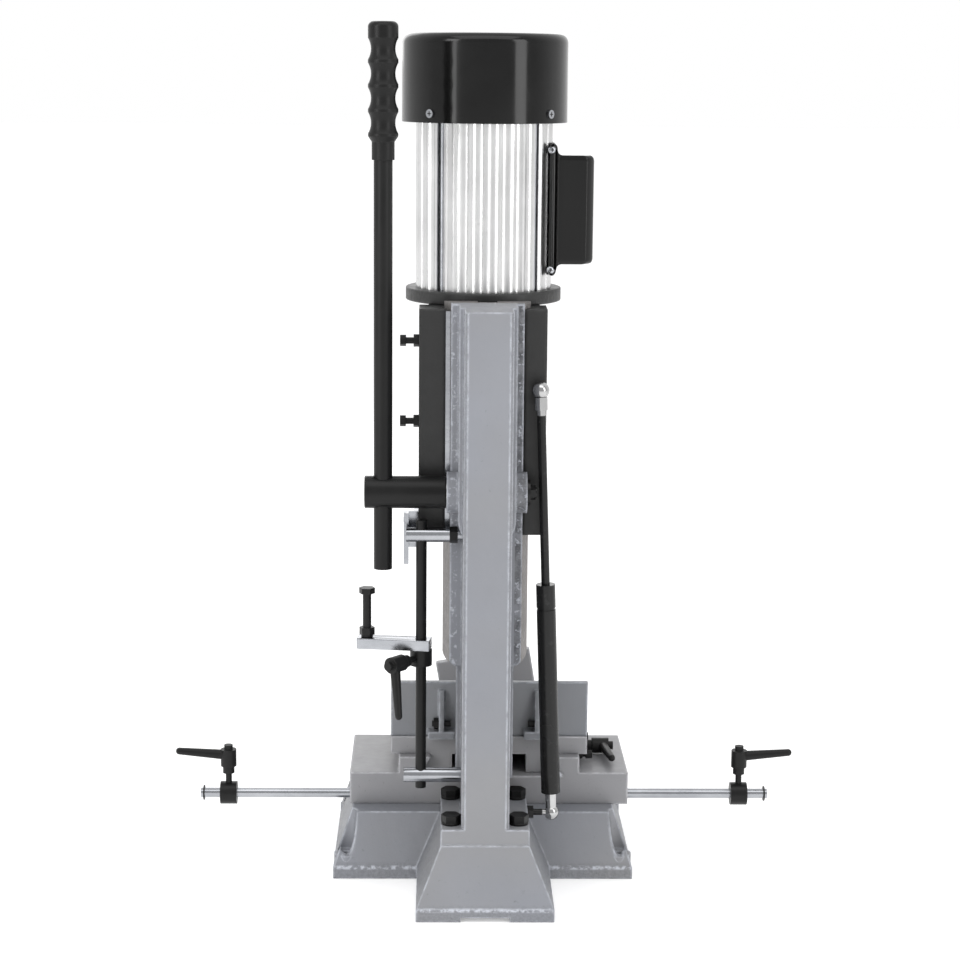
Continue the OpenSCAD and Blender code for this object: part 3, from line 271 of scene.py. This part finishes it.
def flank_shade_and_glints(n, tint, dark, light):
    """The column's flanks beside its rib: painted shade in dark patches on the one at -X, painted
    highlights as glints on both.
    """
    height = n.inside("Z", FLANK_FOOT, FLANK_TOP, FLANK_SOFT)
    shaded_flank = n.times(height, n.inside("X", -FLANK_OUT, -FLANK_IN))
    unshaded_flank = n.times(height, n.inside("X", FLANK_IN, FLANK_OUT))
    # Painted shade: the flank at -X darker in patches
    shade_patches = n.ramp(n.noise(95.0, 5.0, 0.7), [(0.4, 0.15), (0.6, 0.9)])
    tint = n.mix(n.times(shaded_flank, shade_patches), tint, scaled(dark, FLANK_SHADE))
    # Painted highlights: pale glints on both flanks
    glint_highlights = n.patches(n.noise(190.0, 5.0, 0.7), 0.55, 0.63, 0.75)
    return n.mix(n.times(n.either(unshaded_flank, shaded_flank), glint_highlights), tint, scaled(light, GLINT_HIGHLIGHT))


def column_way(n):
    """1 on the column's bare dovetail, 0 on its paint."""
    deep = n.inside("Y", DOVETAIL_FRONT, DOVETAIL_REAR)
    return n.times(deep, n.inside("Z", DOVETAIL_FOOT, DOVETAIL_TOP))


def cast_paint(name, dark, light, rough, lumps, bare_part=None, steel=None):
    """Sprayed enamel over a sand casting, rough and paler in ragged patches along its edges, with
    painted highlights on them and painted shade in its creases.

    lumps is the depth of the sand's relief. bare_part gives 1 where the casting is machined to
    bare steel, and goes with the painted shade and painted glints on the column's flanks.
    """
    n = Nodes(name)
    sand = n.noise(85.0, 5.0, 0.65)
    coarse = n.noise(150.0, 3.0, 0.7)
    edge = n.edges(WORN_REACH)
    side = n.facing_sideways()
    skirt = n.inside("Z", UNDER_BENCH, SKIRT_TOP + SKIRT_FADE, SKIRT_SOFT)

    # Paler in ragged patches along the edges
    ragged = n.times(edge, n.patches(coarse, 0.38, 0.62))
    tint = n.mix(n.times(ragged, 0.5), enamel(n, dark, light), scaled(light, EDGE_PALER))
    chipped = n.times(edge, n.patches(coarse, 0.6, 0.68))
    tint = n.mix(n.times(chipped, 0.8), tint, scaled(dark, CHIPPED))

    blotches = n.ramp(n.noise(420.0, 4.0, 0.65), [(0.4, 0.1), (0.62, 0.6)])
    blotched = n.times(n.either(side, n.times(skirt, 0.6)), blotches)
    tint = n.mix(blotched, tint, scaled(dark, BLOTCHED))
    # The column's flanks: painted shade on one, painted glints on both
    if bare_part:
        tint = flank_shade_and_glints(n, tint, dark, light)

    # Painted highlight: a pale ragged rim along the edges
    rim_highlight = n.times(n.edges(RIM_REACH, 0.96), n.ramp(sand, [(0.36, 0.25), (0.58, 1.0)]))
    # Painted highlight along the rough ridge on top of the base's skirt
    ridge_highlight = n.inside("Z", SKIRT_TOP - RIDGE_BELOW, SKIRT_TOP + RIDGE_ABOVE, RIDGE_SOFT)
    ridge_highlight = n.times(ridge_highlight, n.patches(n.noise(210.0, 4.0, 0.7), 0.45, 0.56, 0.8))
    tint = n.mix(n.times(n.either(rim_highlight, ridge_highlight), 0.95), tint, scaled(light, RIM_HIGHLIGHT))
    # Painted shade: darker in corners and along the joints between pieces, where little light
    # reaches
    crease_shade = n.times(n.creases(CREASE_SHADE_REACH), n.ramp(coarse, [(0.3, 0.55), (0.6, 0.95)]))
    tint = n.mix(crease_shade, tint, scaled(dark, CREASE_SHADE))

    roughness = n.spread(sand, rough - 0.07, rough + 0.08)
    metallic = 0.0
    if bare_part:
        bare = bare_part(n)
        streaks = n.noise(230.0, 3.0, 0.6, ALONG_Z)
        clouds = n.tints(n.noise(30.0, 4.0), steel, scaled(steel, 1.5))
        tint = n.mix(bare, tint, n.mix(streaks, clouds, scaled(steel, 0.7)))
        metallic = n.times(bare, 0.85)
        painted = n.math("SUBTRACT", 1.0, bare)
        sand = n.times(sand, painted)
        ragged = n.times(ragged, painted)

    coarse_sides = n.times(n.either(side, skirt), n.noise(260.0, 4.0, 0.6))
    n.bump(
        (sand, lumps),
        (coarse_sides, SIDES_ROUGHER * lumps),
        (ragged, WORN_DEPTH),
        (n.noise(520.0, 2.0), PEEL_DEPTH),
        start=n.rounded,
    )
    return n.surface(Base_Color=tint, Roughness=roughness, Metallic=metallic)


# Metals, coats and plastics

RUB_REACH = 0.0012
CHROME_DEPTH = 0.00001


def metal(name, dark, light, rough, brush, scale=260.0, depth=0.00002):
    """Turned or drawn metal: fine streaks along one way, cloudy tint, duller spots."""
    n = Nodes(name)
    streaks = n.noise(scale, 3.0, 0.6, brush)
    spots = n.patches(n.noise(120.0, 5.0, 0.7), 0.62, 0.72)
    tint = n.tints(n.noise(22.0, 4.0), dark, light)
    n.bump((streaks, depth))
    return n.surface(
        Base_Color=n.mix(n.times(spots, 0.35), tint, scaled(dark, 0.6)),
        Metallic=1.0,
        Roughness=n.spread(streaks, rough - 0.06, rough + 0.08),
    )


def coated(name, dark, light, rough, peel=500.0, depth=0.00003, coat=0.0, wear=3.0):
    """Powder coat, blacking or moulded plastic, a little paler where hands and spanners rub."""
    n = Nodes(name)
    clouds = n.noise(18.0, 4.0)
    dust = n.patches(n.noise(340.0, 5.0, 0.7), 0.68, 0.78)
    rubbed = n.times(n.edges(RUB_REACH), n.patches(n.noise(160.0, 4.0), 0.4, 0.65, 0.8))
    tint = n.mix(dust, n.tints(clouds, dark, light), scaled(light, 2.0))
    n.bump((n.noise(peel, 3.0), depth), start=n.rounded)
    return n.surface(
        Base_Color=n.mix(rubbed, tint, scaled(light, wear)),
        Roughness=n.spread(clouds, rough - 0.06, rough + 0.06),
        Specular_IOR_Level=0.22,
        Coat_Weight=coat,
        Coat_Roughness=0.08,
    )


def split_finish(name, black, letter, low, high):
    """Black steel that is chromed or bright between two places along an axis at rest."""
    n = Nodes(name)
    chrome = n.inside(letter, low, high)
    clouds = n.noise(24.0, 4.0)
    smears = n.patches(n.noise(150.0, 4.0), 0.6, 0.72)
    n.bump((n.noise(700.0, 2.0), CHROME_DEPTH))
    steel = n.tints(clouds, grey(0.42), grey(0.52))
    tint = n.mix(chrome, n.tints(clouds, scaled(black, 0.8), black), steel)
    return n.surface(
        Base_Color=n.mix(n.times(smears, 0.3), tint, grey(0.05)),
        Metallic=chrome,
        Roughness=n.mix(chrome, n.spread(clouds, 0.2, 0.3), n.spread(clouds, 0.08, 0.16)),
        Specular_IOR_Level=0.28,
    )


# A noise is stretched along an axis where its scale is small
ALONG_X = (0.04, 1.0, 1.0)
ALONG_Z = (1.0, 1.0, 0.04)
FLUTES_Z = (1.0, 1.0, 0.006)

finishes = {
    "grey_casting": cast_paint(
        "grey_casting",
        dark=grey(0.212, -0.008, 0.023),
        light=grey(0.246, -0.009, 0.026),
        rough=0.46,
        lumps=0.0005,
        bare_part=column_way,
        steel=grey(0.2, 0.012, -0.004),
    ),
    "machined_grey": cast_paint(
        "machined_grey",
        dark=grey(0.248, 0.0, 0.012),
        light=grey(0.288, 0.0, 0.014),
        rough=0.42,
        lumps=0.0002,
    ),
    "black_casting": cast_paint(
        "black_casting", dark=grey(0.011), light=grey(0.018), rough=0.44, lumps=0.00025
    ),
    "black_steel": coated("black_steel", dark=grey(0.006), light=grey(0.010), rough=0.36),
    "bright_steel": metal(
        "bright_steel",
        dark=grey(0.32, -0.01, 0.022),
        light=grey(0.44, -0.01, 0.024),
        rough=0.2,
        brush=ALONG_X,
    ),
    "gear_steel": metal(
        "gear_steel",
        dark=grey(0.3, 0.0, 0.005),
        light=grey(0.42, 0.0, 0.005),
        rough=0.36,
        brush=ALONG_Z,
    ),
    "motor_aluminium": metal(
        "motor_aluminium",
        dark=grey(0.60),
        light=grey(0.74),
        rough=0.27,
        brush=FLUTES_Z,
        scale=180.0,
        depth=0.000002,
    ),
    "gloss_black": coated(
        "gloss_black",
        dark=grey(0.003),
        light=grey(0.005),
        rough=0.17,
        peel=45.0,
        depth=0.00004,
        coat=0.2,
        wear=2.0,
    ),
    "black_plastic": coated(
        "black_plastic", dark=grey(0.006), light=grey(0.010), rough=0.4, peel=900.0
    ),
    "copper_windings": metal(
        "copper_windings",
        dark=(0.6, 0.25, 0.1, 1.0),
        light=(0.75, 0.34, 0.15, 1.0),
        rough=0.3,
        brush=ALONG_Z,
    ),
    "green_button": coated(
        "green_button", dark=(0.01, 0.16, 0.04, 1.0), light=(0.015, 0.22, 0.06, 1.0), rough=0.35
    ),
    "red_button": coated(
        "red_button", dark=(0.3, 0.012, 0.01, 1.0), light=(0.4, 0.018, 0.014, 1.0), rough=0.35
    ),
}

# Where black steel turns to chrome or bright steel on the pieces that have both
STUD_CHROME_END = -0.0555
STRUT_TUBE_FOOT = 0.093
STRUT_ROD_END = 0.455
PINION_NUT_FACE = -0.02
# Past any end of the machine
BEYOND = 1.0

finishes_of_nodes = {
    "strut_lower_stud": split_finish(
        "black_steel.lower_stud", grey(0.014), "X", -BEYOND, STUD_CHROME_END
    ),
    "strut_cylinder": split_finish(
        "black_steel.cylinder", grey(0.012), "Z", 0.0, STRUT_TUBE_FOOT
    ),
    "strut_rod": split_finish("black_steel.rod", grey(0.012), "Z", STRUT_ROD_END, BEYOND),
    "pinion_shaft": split_finish(
        "bright_steel.pinion", grey(0.012), "X", PINION_NUT_FACE, BEYOND
    ),
    "rod_clips": coated(
        "bright_steel.clips", dark=grey(0.008), light=grey(0.012), rough=0.35
    ),
    "work_table": cast_paint(
        "machined_grey.fence",
        dark=grey(0.19, -0.010, 0.02),
        light=grey(0.23, -0.010, 0.022),
        rough=0.42,
        lumps=0.0002,
    ),
}

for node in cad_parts.values():
    for slot in node.material_slots:
        slot_name = slot.material.name.split(".")[0]
        slot.material = finishes_of_nodes.get(node.name, finishes[slot_name])


# Softened edges of the CAD's own pieces

EDGE_SEGMENTS = 3
EDGE_ANGLE = math.radians(32.0)
WELD_REACH = 0.00001
EDGE_WIDTHS = {
    "clamp_jaw": 0.001,
    "capacitor_box": 0.004,
    "switch_box": 0.002,
    "motor_flange": 0.001,
    "depth_bar": 0.0008,
    "chuck_door": 0.0006,
    "feed_hub": 0.001,
}


def smooth_group():
    """A node group that shades a whole mesh smooth, for a modifier."""
    group = bpy.data.node_groups.new("shade_smooth", "GeometryNodeTree")
    group.interface.new_socket("Geometry", in_out="INPUT", socket_type="NodeSocketGeometry")
    group.interface.new_socket("Geometry", in_out="OUTPUT", socket_type="NodeSocketGeometry")
    start = group.nodes.new("NodeGroupInput")
    shade = group.nodes.new("GeometryNodeSetShadeSmooth")
    end = group.nodes.new("NodeGroupOutput")
    group.links.new(start.outputs[0], shade.inputs["Geometry"])
    group.links.new(shade.outputs["Geometry"], end.inputs[0])
    return group


def soften(piece, width, smooth):
    """Rounds a piece's hard edges a little by modifiers, so they catch the light."""
    weld = piece.modifiers.new("weld", "WELD")
    weld.merge_threshold = WELD_REACH
    shade = piece.modifiers.new("smooth", "NODES")
    shade.node_group = smooth
    bevel = piece.modifiers.new("edges", "BEVEL")
    bevel.width = width
    bevel.segments = EDGE_SEGMENTS
    bevel.limit_method = "ANGLE"
    bevel.angle_limit = EDGE_ANGLE
    bevel.use_clamp_overlap = False
    normals = piece.modifiers.new("normals", "WEIGHTED_NORMAL")
    normals.keep_sharp = False


shade_smooth = smooth_group()
for node_name, width in EDGE_WIDTHS.items():
    soften(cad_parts[node_name], width, shade_smooth)


# Screws, and the painted shade of their cross recesses

HEAD_STEPS = 28
# A domed head's radius and height from its sunk foot to its crown, as shares of its radius
HEAD_PROFILE = [(1.0, -0.12), (1.0, 0.06), (0.92, 0.24), (0.72, 0.44), (0.42, 0.55)]
HEAD_CROWN = 0.58
# Half an arm's width as a share of its reach, and how far a cross goes into its head and out
CROSS_ARM = 0.22
CROSS_SUNK = 0.0006
CROSS_PROUD = 0.00015


def mesh_object(name, points, faces):
    """A new object in the scene from points and faces."""
    mesh = bpy.data.meshes.new(name)
    mesh.from_pydata(points, [], faces)
    made = bpy.data.objects.new(name, mesh)
    bpy.context.scene.collection.objects.link(made)
    return made


def dress(piece, body, slot):
    """Gives a piece its body and its finish."""
    piece.data.materials.append(finishes[slot])
    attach(piece, body)


def stand(points, place, facing):
    """Turns points drawn around +Z to face another way, and moves them to their place."""
    turn = facing.to_track_quat("Z", "Y").to_matrix()
    return [turn @ Vector(p) + place for p in points]


def screw_head(name, place, facing, radius, body):
    """A domed head, turned from its profile and sunk a little into its seat."""
    points = []
    for share, height in HEAD_PROFILE:
        for i in range(HEAD_STEPS):
            turn = 2 * math.pi * i / HEAD_STEPS
            points.append(
                (
                    radius * share * math.cos(turn),
                    radius * share * math.sin(turn),
                    radius * height,
                )
            )
    foot = len(points)
    crown = foot + 1
    points += [(0.0, 0.0, HEAD_PROFILE[0][1] * radius), (0.0, 0.0, HEAD_CROWN * radius)]
    last_ring = foot - HEAD_STEPS
    faces = []
    for ring in range(0, last_ring, HEAD_STEPS):
        for i in range(HEAD_STEPS):
            j = (i + 1) % HEAD_STEPS
            faces.append((ring + i, ring + j, ring + HEAD_STEPS + j, ring + HEAD_STEPS + i))
    for i in range(HEAD_STEPS):
        j = (i + 1) % HEAD_STEPS
        faces.append((j, i, foot))
        faces.append((last_ring + i, last_ring + j, crown))
    head = mesh_object(name, stand(points, place, facing), faces)
    for face in head.data.polygons:
        face.use_smooth = True
    dress(head, body, "bright_steel")


def shade_cross(name, place, facing, reach, body):
    """A cross recess, drawn as painted shade: a dark cross standing a hair proud of the head."""
    arm = CROSS_ARM * reach
    quarter = [(arm, arm), (arm, reach), (-arm, reach)]
    ring = []
    for _ in range(4):
        ring += quarter
        quarter = [(-y, x) for x, y in quarter]
    count = len(ring)
    points = [(x, y, z) for z in (-CROSS_SUNK, CROSS_PROUD) for x, y in ring]
    faces = []
    for i in range(count):
        j = (i + 1) % count
        faces.append((j, i, i + count, j + count))
    faces += [tuple(range(count)), tuple(range(2 * count - 1, count - 1, -1))]
    cross = mesh_object(name, stand(points, place, facing), faces)
    dress(cross, body, "black_steel")


# The two screws on the capacitor box's plate, in from its ends and its flank
PLATE_SCREW_R = 0.0036
PLATE_SCREW_IN = 0.006
PLATE_FLANK = 0.0022
PLATE_CROSS_REACH = 0.0018
PLATE_CROSS_UP = 0.57
REAR = Vector((0.0, 1.0, 0.0))

plate_low, plate_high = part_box("capacitor_box")
plate_screws = {
    "top": plate_high.z - PLATE_SCREW_IN,
    "bottom": plate_low.z + PLATE_SCREW_IN,
}
for end, height in plate_screws.items():
    seat = Vector((plate_high.x - PLATE_FLANK, plate_high.y, height))
    screw_head("capacitor_screw_" + end, seat, REAR, PLATE_SCREW_R, "head")
    top = seat + REAR * PLATE_CROSS_UP * PLATE_SCREW_R
    # Painted shade: a dark cross for the screw's recess
    shade_cross("capacitor_shade_cross_" + end, top, REAR, PLATE_CROSS_REACH, "head")

# The painted-shade crosses of the four screws round the fan cover, above its foot
COVER_SCREWS = 4
COVER_SCREW_UP = 0.0085
COVER_HEAD_PROUD = 0.002
COVER_CROSS_REACH = 0.0021
COVER_TURN = 49.3

cover_low, cover_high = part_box("fan_cover")
cover_middle = (cover_low + cover_high) / 2
for index in range(COVER_SCREWS):
    turn = math.radians(COVER_TURN + index * 360.0 / COVER_SCREWS)
    outward = Vector((math.cos(turn), math.sin(turn), 0.0))
    centre = Vector((cover_middle.x, 0.0, cover_low.z + COVER_SCREW_UP))
    top = centre + outward * (cover_high.y + COVER_HEAD_PROUD)
    shade_cross("cover_shade_cross_" + str(index + 1), top, outward, COVER_CROSS_REACH, "head")


# Floor

FLOOR_HALF = 25.0
FLOOR_SINK = 0.0004
FLOOR_GLOW = 0.3

corners = ((-1, -1), (1, -1), (1, 1), (-1, 1))
floor = mesh_object(
    "floor", [(x * FLOOR_HALF, y * FLOOR_HALF, -FLOOR_SINK) for x, y in corners], [(0, 1, 2, 3)]
)
paper = Nodes("floor_paint")
floor.data.materials.append(
    paper.surface(
        Base_Color=paper.tints(paper.noise(2.0), grey(0.9), grey(0.92)),
        Roughness=0.7,
        Emission_Color=grey(1.0),
        Emission_Strength=FLOOR_GLOW,
    )
)


# Light

# The room's brightness towards the front (-Y), which the camera sees, and towards the rear
ROOM_STOPS = ((0.42, 1.0), (0.66, 0.62))


def area_light(name, place, aim_height, size, watts):
    """A softbox that looks at a height on the machine's axis."""
    data = bpy.data.lights.new(name, "AREA")
    data.shape = "RECTANGLE"
    data.size, data.size_y = size
    data.energy = watts
    lamp = bpy.data.objects.new(name, data)
    lamp.location = place
    aim = Vector((0.0, 0.0, aim_height)) - Vector(place)
    lamp.rotation_euler = aim.to_track_quat("-Z", "Y").to_euler()
    bpy.context.scene.collection.objects.link(lamp)


def studio_world():
    """A plain room that is paler on one side than on the other."""
    world = bpy.data.worlds.new("studio")
    world.use_nodes = True
    tree = world.node_tree
    way = tree.nodes.new("ShaderNodeSeparateXYZ")
    tree.links.new(tree.nodes.new("ShaderNodeTexCoord").outputs["Generated"], way.inputs[0])
    share = tree.nodes.new("ShaderNodeMath")
    share.operation = "MULTIPLY_ADD"
    tree.links.new(way.outputs["Y"], share.inputs[0])
    share.inputs[1].default_value = 0.5
    share.inputs[2].default_value = 0.5
    room = tree.nodes.new("ShaderNodeValToRGB")
    tree.links.new(share.outputs[0], room.inputs["Fac"])
    for point, (at, level) in zip(room.color_ramp.elements, ROOM_STOPS):
        point.position = at
        point.color = grey(level)
    tree.links.new(room.outputs["Color"], tree.nodes["Background"].inputs["Color"])
    return world


area_light("left_softbox", place=(1.7, 1.5, 1.2), aim_height=0.45, size=(0.7, 1.8), watts=20.0)
area_light("right_softbox", place=(-1.7, 1.5, 1.2), aim_height=0.45, size=(0.7, 1.8), watts=15.0)
area_light("top_softbox", place=(0.0, 0.9, 2.4), aim_height=0.3, size=(2.4, 1.4), watts=17.0)
area_light("front_softbox", place=(0.4, -2.4, 1.5), aim_height=0.4, size=(1.8, 1.6), watts=9.0)
bpy.context.scene.world = studio_world()
bpy.context.scene.view_settings.view_transform = "Standard"


# Camera, behind the machine and fitted to the photograph

CAMERA_PLACE = (0.0463, 2.175, 0.776)
CAMERA_DOWN = math.radians(10.457)
CAMERA_YAW = math.radians(-1.112)
CAMERA_ROLL = math.radians(0.471)
CAMERA_LENS = 85.4
CAMERA_SENSOR = 36.0
CAMERA_REACH = 50.0

camera_data = bpy.data.cameras.new("camera")
camera_data.sensor_width = CAMERA_SENSOR
camera_data.lens = CAMERA_LENS
camera_data.clip_end = CAMERA_REACH
camera = bpy.data.objects.new("camera", camera_data)
camera.location = CAMERA_PLACE
camera.rotation_euler = (
    Matrix.Rotation(math.pi + CAMERA_YAW, 3, "Z")
    @ Matrix.Rotation(math.pi / 2 - CAMERA_DOWN, 3, "X")
    @ Matrix.Rotation(CAMERA_ROLL, 3, "Z")
).to_euler()
bpy.context.scene.collection.objects.link(camera)
bpy.context.scene.camera = camera
